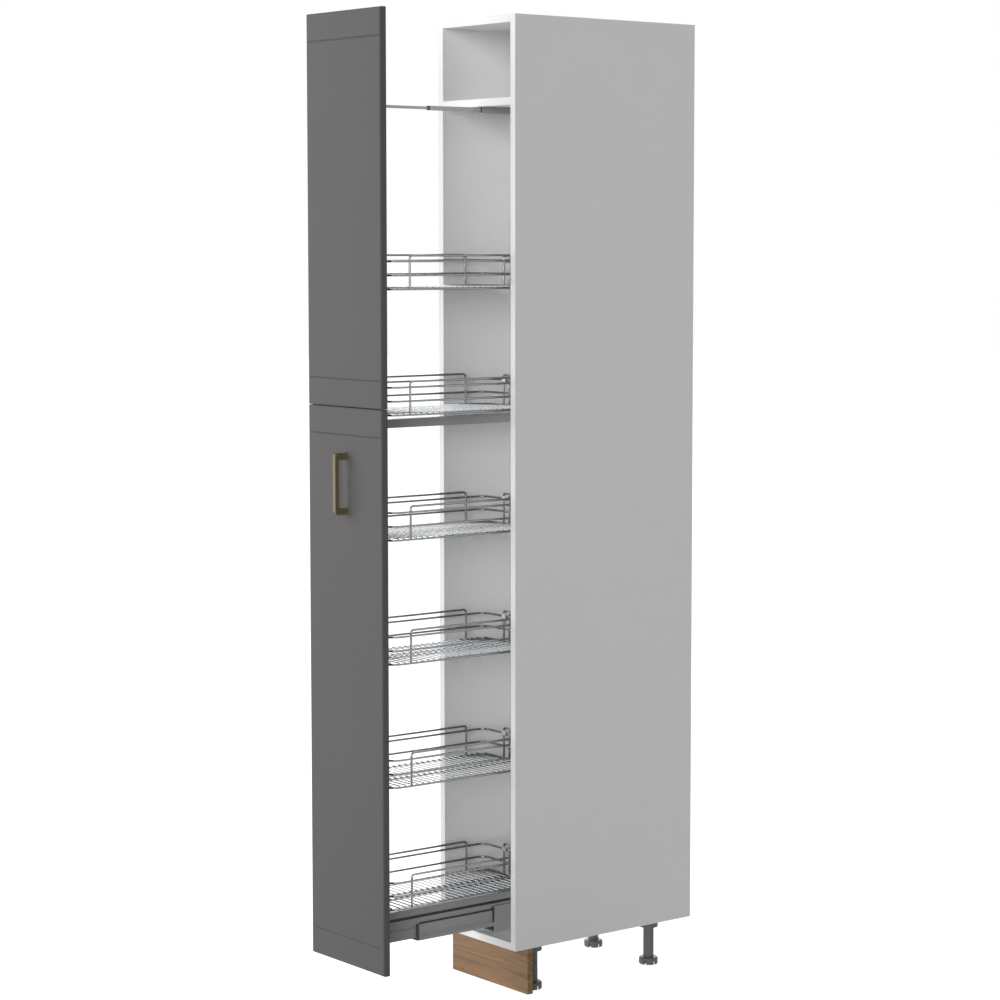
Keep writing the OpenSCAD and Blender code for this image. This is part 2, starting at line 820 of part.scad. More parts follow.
guide_mid_z = shelf_z - guide_z + guide_h / 2;
guide_middle_h = guide_h - 2 * guide_wall - 2 * slide_gap;
guide_middle_x1 = guide_w / 2 - guide_wall - slide_gap;
guide_middle_flange = (guide_middle_h - guide_inner_h) / 2 - slide_gap;
guide_inner_x1 = guide_middle_x1 - guide_middle_web - slide_gap;

module guide_rail() {
    color(steel) at_carcass() translate([0, 0, guide_mid_z]) along_y(guide_front, back_y - guide_rear)
        guide_channel(-guide_w / 2, guide_w / 2, guide_h, guide_wall, guide_wall);
}

module guide_middle() {
    color(steel) out(guide_share) translate([0, 0, guide_mid_z])
        along_y(guide_middle_front, guide_middle_front + guide_middle_len)
            guide_channel(-guide_w / 2, guide_middle_x1, guide_middle_h, guide_middle_web,
                guide_middle_flange);
}

module guide_inner() {
    y0 = upright_front + post_t;
    color(zinc) out(1) translate([0, 0, guide_mid_z]) along_y(y0, y0 + guide_inner_len)
        translate([-guide_w / 2, -guide_inner_h / 2]) square([guide_inner_x1 + guide_w / 2, guide_inner_h]);
}

// Post on the front upright that carries the inner guide
module guide_post() {
    z_top = guide_mid_z + guide_inner_h / 2;
    color(steel) out(1) {
        translate([-tube_w / 2, upright_front, upright_top]) cube([tube_w, tube_d, post_base_t]);
        translate([-guide_w / 2, upright_front, upright_top]) cube([guide_w, post_t, z_top - upright_top]);
        translate([0, upright_front + tube_d / 2, upright_top]) tube_stub();
    }
}

// Pull-out frame

module tube_z(y0, z0, z1) {
    difference() {
        translate([-tube_w / 2, y0, z0]) cube([tube_w, tube_d, z1 - z0]);
        translate([tube_wall - tube_w / 2, y0 + tube_wall, z0 - eps])
            cube([tube_w - 2 * tube_wall, tube_d - 2 * tube_wall, z1 - z0 + 2 * eps]);
    }
}

// Bottom and height of each bar, and the heights of the bolts that hold them
bars = [[bottom_bar_z, bottom_bar_h], [middle_bar_z, bar_h]];
bar_bolt_zs = [for (b = bars) b[0] + b[1] / 2];

module front_upright() {
    color(steel) out(1) difference() {
        tube_z(upright_front, bottom_bar_z, upright_top);
        for (z = bar_bolt_zs) translate([0, upright_front, z]) {
            rod_y(access_d, -eps, tube_wall + eps);
            rod_y(bar_bolt_d + 2 * fit, tube_d / 2, tube_d + eps);
        }
        for (z = bracket_bolt_zs()) translate([0, bracket_bolt_y(), z])
            rod_x(bracket_bolt_d + 2 * fit, -tube_w, tube_w);
        for (n = [1 : 6]) translate([0, upright_front + tube_d, hook_screw_z(n)])
            rod_y(hook_screw_d + 2 * fit, -tube_wall - eps, eps);
    }
}

module rear_upright() {
    y0 = frame_rear - tube_d;
    color(steel) out(1) difference() {
        tube_z(y0, bottom_bar_z, rear_upright_top);
        for (z = bar_bolt_zs) translate([0, y0, z]) {
            rod_y(bar_bolt_d + 2 * fit, -eps, tube_d / 2);
            rod_y(access_d, tube_d - tube_wall - eps, tube_d + eps);
        }
        for (n = [1 : 6]) translate([0, y0, hook_screw_z(n)])
            rod_y(hook_screw_d + 2 * fit, -eps, tube_wall + eps);
    }
}

module bar(z, h) {
    along_y(bar_y0, bar_y1) translate([0, z]) difference() {
        translate([-tube_w / 2, 0]) square([tube_w, h]);
        translate([tube_wall - tube_w / 2, tube_wall])
            square([tube_w - 2 * tube_wall, h - 2 * tube_wall]);
    }
}

module middle_bar() {
    color(steel) out(1) bar(middle_bar_z, bar_h);
}

module bottom_bar() {
    color(steel) out(1) difference() {
        bar(bottom_bar_z, bottom_bar_h);
        for (y = bar_bolt_ys) translate([0, y, bottom_bar_z])
            rod_z(bar_bolt_d + 2 * fit, -eps, bottom_bar_h + eps);
    }
}

module bar_end_plugs() {
    inset = tube_wall + seat;
    color(pale_plastic) out(1) for (b = bars, y = [bar_y0, bar_y1 - plug_len]) translate([0, y, b[0]])
        difference() {
            translate([inset - tube_w / 2, 0, inset])
                cube([tube_w - 2 * inset, plug_len, b[1] - 2 * inset]);
            translate([0, 0, b[1] / 2]) rod_y(bar_bolt_d + 2 * fit, -eps, plug_len + eps);
        }
}

// Bolts that hold the bars to the uprights, and the bottom bar to the runner
module frame_bolts() {
    color(zinc) out(1) {
        for (z = bar_bolt_zs) {
            translate([0, bar_y0 - tube_wall, z]) {
                rod_y(bar_bolt_head_d, -bar_bolt_head_t, 0);
                rod_y(bar_bolt_d, 0, tube_wall + plug_len);
            }
            translate([0, bar_y1 + tube_wall, z]) {
                rod_y(bar_bolt_head_d, 0, bar_bolt_head_t);
                rod_y(bar_bolt_d, -tube_wall - plug_len, 0);
            }
        }
        for (y = bar_bolt_ys) translate([0, y, bottom_bar_top]) {
            rod_z(bar_bolt_head_d, 0, bar_bolt_head_t);
            rod_z(bar_bolt_d, -bottom_bar_h - spacer_t - inner_wall - nut_t, 0);
        }
    }
}

module runner_spacers() {
    color(zinc) out(1) for (y = bar_bolt_ys) translate([0, y, bottom_bar_z]) difference() {
        rod_z(spacer_d, -spacer_t, 0);
        rod_z(bar_bolt_d + 2 * fit, -spacer_t - eps, eps);
    }
}

module runner_nuts() {
    z1 = bottom_bar_z - spacer_t - inner_wall;
    color(zinc) out(1) for (y = bar_bolt_ys) translate([0, y, 0]) difference() {
        translate([0, 0, z1 - nut_t]) cylinder(d = nut_af / cos(30), h = nut_t, $fn = 6);
        rod_z(bar_bolt_d + 2 * fit, z1 - nut_t - eps, z1 + eps);
    }
}

// A block that fits inside the end of an upright
module tube_stub() {
    w = tube_w - 2 * tube_wall - 2 * plug_play;
    d = tube_d - 2 * tube_wall - 2 * plug_play;
    translate([-w / 2, -d / 2, -cap_stub]) cube([w, d, cap_stub]);
}

// One cap with its stub, its plate on top
module tube_cap() {
    translate([-tube_w / 2, -tube_d / 2, 0]) cube([tube_w, tube_d, cap_t]);
    tube_stub();
}

module upright_caps() {
    color(dark_plastic) out(1) {
        translate([0, frame_rear - tube_d / 2, rear_upright_top]) tube_cap();
        // The lower caps end short of the runner, and their stubs pass under the bolt heads
        for (y = [upright_front + tube_d / 2, frame_rear - tube_d / 2])
            translate([0, y, bottom_bar_z]) mirror([0, 0, 1]) intersection() {
                tube_cap();
                translate([-tube_w, -tube_w, -bottom_bar_h / 2 + bar_bolt_head_d / 2 + fit])
                    cube([2 * tube_w, 2 * tube_w, bar_h]);
            }
    }
}

// Door brackets

function bracket_zs() = concat(bracket_zs_lower, bracket_zs_upper);
function bracket_bolt_y() = upright_front + tube_d / 2;
function bracket_bolt_zs() = [for (z = bracket_zs()) z + bracket_h / 2];
function door_screw_zs(z) = [z + bracket_h / 2 - door_screw_dz, z + bracket_h / 2 + door_screw_dz];

module door_brackets() {
    color(zinc) out(1) both_sides() for (z = bracket_zs()) difference() {
        union() {
            translate([tube_w / 2, -closed_gap, z]) cube([bracket_w, bracket_t, bracket_h]);
            translate([tube_w / 2, -closed_gap, z]) cube([bracket_t, bracket_side + bracket_t, bracket_h]);
        }
        translate([0, bracket_bolt_y(), z + bracket_h / 2]) rod_x(bracket_bolt_d + 2 * fit, 0, tube_w);
        for (x = door_screw_x, sz = door_screw_zs(z)) translate([x, -closed_gap, sz])
            rod_y(wood_screw_d + 2 * fit, -eps, bracket_t + eps);
    }
}

// A bolt through each pair of brackets, with its nut
module bracket_bolts() {
    x1 = tube_w / 2 + bracket_t;
    color(zinc) out(1) for (z = bracket_bolt_zs()) translate([0, bracket_bolt_y(), z]) {
        rod_x(bracket_bolt_head_d, x1, x1 + bracket_bolt_head_t);
        rod_x(bracket_bolt_d, -x1 - bracket_nut_t, x1);
        translate([-x1 - bracket_nut_t, 0, 0]) rotate([0, 90, 0])
            cylinder(d = bracket_nut_af / cos(30), h = bracket_nut_t, $fn = 6);
    }
}

module door_screws() {
    color(zinc) out(1) both_sides() for (z = bracket_zs(), x = door_screw_x, sz = door_screw_zs(z))
        translate([x, -closed_gap + bracket_t, sz]) rotate([-90, 0, 0])
            screw_down(wood_screw_d, door_screw_head_d, wood_screw_len);
}

// Doors

// A bar that rounds an edge along Z, where two outer faces meet at the origin
module edge_cut(r, len) {
    difference() {
        translate([-eps, -eps, -len / 2]) cube([r + eps, r + eps, len]);
        translate([r, r, -len / 2 - eps]) cylinder(r = r, h = len + 2 * eps);
    }
}

// A door with rounded front edges and a V-groove near each end
module door(z0, h) {
    y0 = -closed_gap - door_t;
    difference() {
        translate([-door_w / 2, y0, z0]) cube([door_w, door_t, h]);
        both_sides() translate([-door_w / 2, y0, z0 + h / 2]) edge_cut(door_edge_r, h + 2 * eps);
        for (end = [0, 1]) translate([0, y0, end ? z0 + h : z0]) mirror([0, 0, end])
            rotate([0, 90, 0]) mirror([1, 0, 0]) edge_cut(door_edge_r, door_w + 2 * eps);
        for (z = [z0 + groove_inset, z0 + h - groove_inset]) translate([0, y0, z])
            along_x(door_w + 2 * eps) polygon([[-eps, -groove_w / 2 * (1 + eps / groove_deep)],
                [groove_deep, 0], [-eps, groove_w / 2 * (1 + eps / groove_deep)]]);
    }
}

// Blind holes in a door's back for the screws of its brackets
module door_screw_holes(zs) {
    both_sides() for (z = zs, x = door_screw_x, sz = door_screw_zs(z)) translate([x, -closed_gap, sz])
        rod_y(wood_screw_d + 2 * fit, bracket_t - wood_screw_len - fit, eps);
}

module door_upper() {
    color(grey_front) out(1) difference() {
        door(upper_door_z, upper_door_h);
        door_screw_holes(bracket_zs_upper);
    }
}

module door_lower() {
    color(grey_front) out(1) difference() {
        door(door_bottom_gap, lower_door_h);
        door_screw_holes(bracket_zs_lower);
        for (s = [-1, 1]) translate([0, -closed_gap, handle_z + s * handle_spacing / 2]) {
            rod_y(handle_screw_d + 2 * fit, -door_t - eps, eps);
            rod_y(handle_screw_head_d + 2 * fit, -head_t - fit, eps);
        }
    }
}

// A rectangle from -depth to 0, centred across, with its two corners at -depth rounded
module round_front(depth, h, r) {
    translate([-depth, r - h / 2]) square([depth, h - 2 * r]);
    translate([r - depth, -h / 2]) square([depth - r, h]);
    for (s = [-1, 1]) translate([r - depth, s * (h / 2 - r)]) circle(r = r);
}

// Handle: a square grip bent into two legs, each with a square base
module handle() {
    y_door = -closed_gap - door_t;
    half = handle_spacing / 2;
    color(brass) out(1) translate([0, y_door, handle_z]) difference() {
        union() {
            along_x(handle_bar) difference() {
                round_front(handle_out, 2 * half + handle_leg, handle_corner_r);
                translate([eps, 0])
                    round_front(handle_out - handle_bar + eps, 2 * half - handle_leg, handle_inner_r);
            }
            for (s = [-1, 1]) translate([-handle_base / 2, -handle_base_t, s * half - handle_base / 2])
                cube([handle_base, handle_base_t, handle_base]);
        }
        for (s = [-1, 1]) translate([0, 0, s * half])
            rod_y(handle_screw_d + 2 * fit, -handle_screw_grip - fit, eps);
    }
}

module handle_screws() {
    color(zinc) out(1) for (s = [-1, 1]) translate([0, -closed_gap, handle_z + s * handle_spacing / 2]) {
        rod_y(handle_screw_d, -door_t - handle_screw_grip, 0);
        rod_y(handle_screw_head_d, -head_t, 0);
    }
}

// Hooks that carry the baskets

function hook_screw_z(n) = basket_z(n) + upper_rail_h - hook_plate_h / 2;

// One hook plate for basket n, on the rear face of the front upright
module hook_plate(n) {
    z_rail = basket_z(n) + upper_rail_h;
    z_arm = z_rail - wire_d / 2 - hook_gap - hook_t;
    rail_y = basket_end_gap + 1.5 * wire_d + seat;
    tip_y = rail_y + wire_d / 2 + hook_gap;
    translate([0, bar_y0, 0]) difference() {
        union() {
            translate([-loop_x - hook_w / 2, 0, z_rail - hook_plate_h])
                cube([2 * loop_x + hook_w, hook_t, hook_plate_h]);
            both_sides() translate([loop_x - hook_w / 2, 0, z_arm]) {
                cube([hook_w, tip_y + hook_t, hook_t]);
                translate([0, tip_y, 0]) cube([hook_w, hook_t, hook_t + hook_tip]);
            }
        }
        translate([0, 0, hook_screw_z(n)]) rod_y(hook_screw_d + 2 * fit, -eps, hook_t + eps);
    }
}

// Copies a piece of the front end to the rear end of the baskets
module both_ends() {
    children();
    translate([0, basket_mid_y, 0]) mirror([0, 1, 0]) translate([0, -basket_mid_y, 0]) children();
}

module basket_hooks() {
    color(zinc) out(1) both_ends() for (n = [1 : 6]) hook_plate(n);
}

module hook_screws() {
    color(zinc) out(1) both_ends() for (n = [1 : 6]) translate([0, bar_y0 + hook_t, hook_screw_z(n)])
        rotate([-90, 0, 0]) screw_down(hook_screw_d, hook_screw_head_d, hook_screw_len - head_t);
}

// Baskets

// A quarter bend of wire in the XY plane, from the +X side round to the +Y side
module quarter_bend(r, d) {
    rotate_extrude(angle = 90) translate([r, 0]) circle(d = d);
}

// A closed rail with four round corners, at the height of its centre
module rail(z) {
    r = rail_corner_r;
    x = basket_half - r;
    dy = (basket_y1 - basket_y0) / 2 - r;
    translate([0, basket_mid_y, z]) for (a = [0, 1]) rotate(180 * a) {
        translate([basket_half, 0, 0]) rod_y(wire_d, -dy, dy);
        translate([0, dy + r, 0]) rod_x(wire_d, -x, x);
        translate([x, dy, 0]) quarter_bend(r, wire_d);
        mirror([1, 0, 0]) translate([x, dy, 0]) quarter_bend(r, wire_d);
    }
}

// An upturned U of wire in the XZ plane, its legs standing on z0
module hoop(half, z0, z1, r, d) {
    both_sides() {
        translate([half, 0, 0]) rod_z(d, z0, z1 - r);
        translate([half - r, 0, z1 - r]) rotate([90, 0, 0]) quarter_bend(r, d);
    }
    translate([0, 0, z1]) rod_x(d, r - half, half - r);
}

// Half the length of a cross wire that ends on the ring, d away from the ring's end
function cross_half(d) = let (e = max(0, rail_corner_r - d))
    basket_half - rail_corner_r + sqrt(rail_corner_r * rail_corner_r - e * e);

module cross_wires() {
    reach = (basket_y1 - basket_y0) / 2;
    rows = floor((reach - (wire_d + cross_wire_d) / 2) / cross_pitch + 0.5);
    for (i = [1 : rows], s = [-1, 1]) {
        y = s * (i - 0.5) * cross_pitch;
        half = crosses_leg(y) ? basket_inner_half - wire_d / 2 - seat : cross_half(reach - abs(y));
        translate([0, basket_mid_y + y, cross_z]) rod_x(cross_wire_d, -half, half);
    }
}

// True where a cross wire meets the legs of a side guard, so that it stops short of them
function crosses_leg(y) = abs(abs(y) - guard_half) < (wire_d + cross_wire_d) / 2 + seat;

guard_half = (basket_y1 - basket_y0) / 2 - guard_inset;

// Basket n of six, counted from the lowest
module basket(n) {
    color(zinc) out(1) translate([0, 0, basket_z(n)]) {
        for (z = [0, middle_rail_h, upper_rail_h]) rail(z);
        // Guards along both sides, their legs inside the rails
        both_sides() translate([basket_inner_half, basket_mid_y, 0]) rotate(90)
            hoop(guard_half, -wire_d / 2, guard_h, guard_r, wire_d);
        // Loops outside the end rails, each round one arm of the hooks
        both_ends() both_sides() translate([loop_x, loop_y, 0])
            hoop(loop_half, -wire_d / 2, loop_h, loop_r, wire_d);
        // Lengthwise wires under the cross wires, between the ring's ends
        for (x = [-bearer_x, bearer_x]) translate([x, 0, 0])
            rod_y(wire_d, basket_y0 + wire_d / 2 + seat, basket_y1 - wire_d / 2 - seat);
        cross_wires();
    }
}

side_left();
side_right();
top_panel();
bottom_panel();
fixed_shelf();
back_panel();
dowels();
cam_bolts();
cam_discs();
wall_angle();
wall_angle_screws();
plinth_board();
plinth_clips();
plinth_clip_screws();
leg_flanges();
leg_flange_screws();
leg_columns();
foot(-leg_x, leg_ys[0]);  // foot_front_left
foot(leg_x, leg_ys[0]);  // foot_front_right
foot(-leg_x, leg_ys[1]);  // foot_rear_left
foot(leg_x, leg_ys[1]);  // foot_rear_right
runner_housing();
runner_housing_screws();
runner_end_stop();
runner_outer_cages();
runner_outer_balls();
runner_middle();
runner_inner_cages();
runner_inner_balls();
runner_inner();
guide_bracket();
guide_bracket_screws();
guide_rail();
guide_middle();
guide_inner();
guide_post();
front_upright();
rear_upright();
middle_bar();
bottom_bar();
bar_end_plugs();
frame_bolts();
runner_spacers();
runner_nuts();
upright_caps();
door_brackets();
bracket_bolts();
door_screws();
basket_hooks();
hook_screws();
door_upper();
door_lower();
handle();
handle_screws();
basket(1);  // basket_1
basket(2);  // basket_2
basket(3);  // basket_3
basket(4);  // basket_4
basket(5);  // basket_5
basket(6);  // basket_6
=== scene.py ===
"""Tall kitchen cabinet with its baskets drawn out: finishes, fittings and studio around the CAD frame."""
import json
import math

import bmesh
import bpy
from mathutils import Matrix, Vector

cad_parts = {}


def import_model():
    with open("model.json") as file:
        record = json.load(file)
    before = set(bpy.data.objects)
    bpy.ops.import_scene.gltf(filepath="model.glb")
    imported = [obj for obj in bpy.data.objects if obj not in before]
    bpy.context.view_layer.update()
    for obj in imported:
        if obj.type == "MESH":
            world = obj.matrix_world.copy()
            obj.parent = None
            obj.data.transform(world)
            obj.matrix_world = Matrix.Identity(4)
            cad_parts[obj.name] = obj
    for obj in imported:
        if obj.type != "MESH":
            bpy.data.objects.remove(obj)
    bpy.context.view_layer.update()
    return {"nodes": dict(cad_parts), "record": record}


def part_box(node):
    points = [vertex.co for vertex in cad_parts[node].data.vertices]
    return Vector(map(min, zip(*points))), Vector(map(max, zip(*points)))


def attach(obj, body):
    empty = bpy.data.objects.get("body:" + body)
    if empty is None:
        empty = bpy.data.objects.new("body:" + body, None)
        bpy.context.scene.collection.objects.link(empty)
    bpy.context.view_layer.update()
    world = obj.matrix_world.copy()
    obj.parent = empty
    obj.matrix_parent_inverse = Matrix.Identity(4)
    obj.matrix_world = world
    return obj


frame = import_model()
nodes = frame["nodes"]
scene = bpy.context.scene
scene.view_settings.view_transform = "Standard"

MM = 0.001


# Camera
CAMERA_AT = (5.2187, -4.0583, 1.8087)
CAMERA_TURN = 51.60      # degrees from the front towards the right side
CAMERA_DOWN = 5.066      # degrees below the horizon
SENSOR_WIDTH, FOCAL_LENGTH = 36, 98.73       # mm
FRAME_SHIFT = (-0.0259, -0.0159)             # parts of the picture's width

camera = bpy.data.objects.new("camera", bpy.data.cameras.new("camera"))
scene.collection.objects.link(camera)
scene.camera = camera
camera.location = CAMERA_AT
camera.rotation_euler = (math.radians(90 - CAMERA_DOWN), 0, math.radians(CAMERA_TURN))
camera.data.sensor_width = SENSOR_WIDTH
camera.data.lens = FOCAL_LENGTH
camera.data.shift_x, camera.data.shift_y = FRAME_SHIFT
camera.data.clip_end = 60


# Small helpers
def linear(code):
    """The linear colour of an sRGB hex value."""
    values = [int(code[i:i + 2], 16) / 255 for i in (1, 3, 5)]
    return [v / 12.92 if v <= 0.04045 else ((v + 0.055) / 1.055) ** 2.4 for v in values] + [1]


def add(tree, kind, inputs=None, **settings):
    """Adds a node with its settings; inputs gives each socket a value or another node's output."""
    made = tree.nodes.new(kind)
    for name, value in settings.items():
        setattr(made, name, value)
    for socket, value in (inputs or {}).items():
        if isinstance(value, bpy.types.NodeSocket):
            tree.links.new(value, made.inputs[socket])
        else:
            made.inputs[socket].default_value = value
    return made


def material(name):
    """A new material: its tree, its shader, and the place on the object, in metres."""
    made = bpy.data.materials.new(name)
    made.use_nodes = True
    tree = made.node_tree
    place = add(tree, "ShaderNodeTexCoord").outputs["Object"]
    return made, tree, tree.nodes["Principled BSDF"], place


def stretched(tree, place, size_mm):
    """The place measured in steps of size_mm along X, Y and Z."""
    steps = [1 / (s * MM) for s in size_mm]
    return add(tree, "ShaderNodeMapping", {"Vector": place, "Scale": steps}).outputs[0]


def mixed(tree, amount, a, b):
    """A colour between a and b."""
    return add(tree, "ShaderNodeMix", {0: amount, 6: a, 7: b}, data_type="RGBA").outputs[2]


def spread(tree, value, low, high, to_low=0.0, to_high=1.0):
    """A value stretched from low..high to another range, and held there."""
    return add(tree, "ShaderNodeMapRange", {0: value, 1: low, 2: high, 3: to_low, 4: to_high}).outputs[0]


def noise(tree, place, size_mm, detail=2.0, roughness=0.5):
    """Noise whose lumps are about size_mm."""
    return add(tree, "ShaderNodeTexNoise",
               {"Vector": stretched(tree, place, size_mm), "Scale": 1.0, "Detail": detail,
                "Roughness": roughness}).outputs[0]


def soft_edges(tree, radius_mm):
    """Normals that run smoothly round the edges, as on a broken edge of that radius."""
    return add(tree, "ShaderNodeBevel", {"Radius": radius_mm * MM}, samples=4).outputs[0]


def bumped(tree, shader, height, depth_mm, strength, edge_mm=0.0):
    """Sets the shader's normal from a height, over softened edges."""
    inputs = {"Height": height, "Distance": depth_mm * MM, "Strength": strength}
    if edge_mm:
        inputs["Normal"] = soft_edges(tree, edge_mm)
    tree.links.new(add(tree, "ShaderNodeBump", inputs).outputs[0], shader.inputs["Normal"])


# Materials

# Chipboard pressed with white melamine film: an even, slightly satin white with a fine pearl grain
white_board, tree, shader, place = material("white_melamine_board")
patches = noise(tree, place, (160, 160, 220), 3)
tree.links.new(mixed(tree, patches, linear("#F8F8F8"), linear("#FBFBFB")), shader.inputs["Base Color"])
pearl = noise(tree, place, (0.9, 0.9, 0.9), 2)
tree.links.new(spread(tree, pearl, 0.3, 0.7, 0.42, 0.52), shader.inputs["Roughness"])
shader.inputs["IOR"].default_value = 1.48
bumped(tree, shader, pearl, 0.03, 0.25, 0.7)

# Fibreboard wrapped in a grey vinyl film: matt, with a very fine orange peel
grey_front, tree, shader, place = material("matt_grey_door_film")
patches = noise(tree, place, (240, 240, 380), 3)
tree.links.new(mixed(tree, patches, linear("#605F5F"), linear("#646363")), shader.inputs["Base Color"])
peel = noise(tree, place, (1.4, 1.4, 1.4), 2)
tree.links.new(spread(tree, peel, 0.3, 0.7, 0.72, 0.8), shader.inputs["Roughness"])
shader.inputs["IOR"].default_value = 1.33
bumped(tree, shader, peel, 0.04, 0.3, 0.6)

# Chipboard with an oak decor: the grain runs along the plinth, with growth lines, pores and two knots
oak_board, tree, shader, place = material("oak_decor_board")
KNOTS_MM = ((-110, 10, 13, 3.2), (101, 31, 12, 3.2))     # along X, height, half length, half height
GRAIN_DRIFT = 0.05       # metres that the grain wanders up and down
warp = noise(tree, place, (260, 60, 34), 3)
drift = add(tree, "ShaderNodeMath", {0: warp, 1: GRAIN_DRIFT}, operation="MULTIPLY").outputs[0]
swell = add(tree, "ShaderNodeCombineXYZ", {"Z": drift}).outputs[0]
knot_mask = 0.0
for x, z, half, rise in KNOTS_MM:
    offset = add(tree, "ShaderNodeVectorMath", {0: place, 1: (x * MM, 0, z * MM)},
                 operation="SUBTRACT").outputs[0]
    flat = add(tree, "ShaderNodeVectorMath", {0: offset, 1: (1 / (half * MM), 0, 1 / (rise * MM))},
               operation="MULTIPLY").outputs[0]
    reach = add(tree, "ShaderNodeVectorMath", {0: flat}, operation="LENGTH").outputs["Value"]
    near = spread(tree, reach, 0.2, 1.0, 1.0, 0.0)
    knot_mask = add(tree, "ShaderNodeMath", {0: near, 1: knot_mask}, operation="MAXIMUM").outputs[0]
grain_place = add(tree, "ShaderNodeVectorMath", {0: place, 1: swell}).outputs[0]
growth = noise(tree, grain_place, (420, 30, 11), 4, 0.6)
fibre = noise(tree, grain_place, (55, 3, 1.1), 3, 0.65)
pores = spread(tree, noise(tree, grain_place, (9, 1, 0.55), 1), 0.6, 0.72)
colour = mixed(tree, spread(tree, growth, 0.34, 0.66), linear("#67472A"), linear("#9E7B50"))
colour = mixed(tree, spread(tree, fibre, 0.35, 0.8, 0.0, 0.55), colour, linear("#745438"))
faint_pores = add(tree, "ShaderNodeMath", {0: pores, 1: 0.35}, operation="MULTIPLY").outputs[0]
colour = mixed(tree, faint_pores, colour, linear("#5E432B"))
colour = mixed(tree, spread(tree, knot_mask, 0.0, 1.0, 0.0, 0.7), colour, linear("#6B3F1E"))
tree.links.new(colour, shader.inputs["Base Color"])
tree.links.new(spread(tree, fibre, 0.3, 0.8, 0.42, 0.58), shader.inputs["Roughness"])
shader.inputs["IOR"].default_value = 1.48
bumped(tree, shader, fibre, 0.05, 0.3, 0.6)


def metal(name, light, dark, rough, grain_mm, edge_mm=0.3, metallic=1.0, depth_mm=0.01):
    """A metal or coated metal: tone and polish vary over lumps of grain_mm, edges are broken by edge_mm."""
    made, tree, shader, place = material(name)
    lumps = noise(tree, place, grain_mm, 3, 0.6)
    tree.links.new(mixed(tree, spread(tree, lumps, 0.3, 0.7), linear(dark), linear(light)),
                   shader.inputs["Base Color"])
    tree.links.new(spread(tree, lumps, 0.3, 0.7, rough * 0.85, rough * 1.2), shader.inputs["Roughness"])
    shader.inputs["Metallic"].default_value = metallic
    bumped(tree, shader, lumps, depth_mm, 0.25, edge_mm)
    return made


# Steel under a smooth grey powder coat: half matt, with a soft orange peel and rounded edges
grey_steel = metal("grey_powder_coated_steel", "#A6A7A9", "#9C9D9F", 0.42, (2.2, 2.2, 2.2),
                   edge_mm=0.5, metallic=0.0, depth_mm=0.03)
# Bright zinc plate, passivated: softly bright and slightly cloudy
zinc_steel = metal("zinc_plated_steel", "#B2B6B8", "#A0A4A7", 0.34, (6, 6, 6))
# Strip steel galvanised before rolling, dulled by its passivation: even, a little cloudy
rolled_zinc = metal("galvanised_strip_steel", "#B6B9BB", "#A8ABAE", 0.45, (4, 30, 4), metallic=0.55)
# Chrome-plated welded wire: bright, with a faint ripple from drawing the wire
wire_steel = metal("chrome_plated_wire", "#96989A", "#808284", 0.2, (7, 7, 7), edge_mm=0.0, depth_mm=0.02)
# Hardened and polished bearing steel
ball_steel = metal("polished_bearing_steel", "#C4C7C9", "#B6B9BB", 0.12, (3, 3, 3), edge_mm=0.0)
# Zinc casting plated and brushed to antique brass: fine scratches along the grip, darker where it isn't rubbed
antique_brass = metal("brushed_antique_brass", "#766C50", "#60573F", 0.58, (0.5, 0.5, 26),
                      edge_mm=0.7, metallic=0.5)


def plain(name, light, dark, rough, grain_mm, ior, edge_mm=0.4, depth_mm=0.02):
    """A moulded or turned material with a fine surface grain."""
    made, tree, shader, place = material(name)
    grain = noise(tree, place, grain_mm, 3)
    tree.links.new(mixed(tree, grain, linear(dark), linear(light)), shader.inputs["Base Color"])
    tree.links.new(spread(tree, grain, 0.3, 0.7, rough * 0.9, rough * 1.1), shader.inputs["Roughness"])
    shader.inputs["IOR"].default_value = ior
    bumped(tree, shader, grain, depth_mm, 0.3, edge_mm)
    return made


# Glass-filled nylon out of a spark-eroded mould: dark grey and matt
grey_plastic = plain("moulded_grey_nylon", "#636466", "#575859", 0.5, (0.8, 0.8, 0.8), 1.53)
# The same nylon in black-grey, for the sliding parts of the runner and the guide. It also colours the dark
# pieces in the runner's gaps, which are painted shade.
dark_nylon_and_painted_shade = plain("moulded_dark_nylon", "#37383A", "#2E2F30", 0.5, (0.7, 0.7, 0.7), 1.53)
# Natural rubber buffer
rubber_stop = plain("black_rubber", "#2E2E2E", "#262626", 0.7, (1.2, 1.2, 1.2), 1.52)
# Turned beech dowel: pale, with short flecks along it
beech = plain("beech_dowel", "#D9BC8E", "#BE9B69", 0.55, (12, 0.8, 0.8), 1.5, edge_mm=0.3)

SLOT_MATERIALS = {
    "white_board": white_board, "grey_front": grey_front, "oak_board": oak_board, "beech": beech,
    "grey_steel": grey_steel, "zinc_steel": zinc_steel, "wire_steel": wire_steel,
    "antique_brass": antique_brass, "grey_plastic": grey_plastic, "rubber_stop": rubber_stop,
}
for part in frame["record"]["subparts"]:
    cad_mesh = nodes[part["node"]].data
    cad_mesh.materials.clear()
    cad_mesh.materials.append(SLOT_MATERIALS[part["material_slot"]])
for ball_node in ("runner_outer_balls", "runner_inner_balls"):
    nodes[ball_node].data.materials[0] = ball_steel
for guide_node in ("guide_rail", "guide_middle", "guide_inner"):
    nodes[guide_node].data.materials[0] = rolled_zinc
for cage_node in ("runner_outer_cages", "runner_inner_cages"):
    nodes[cage_node].data.materials[0] = dark_nylon_and_painted_shade
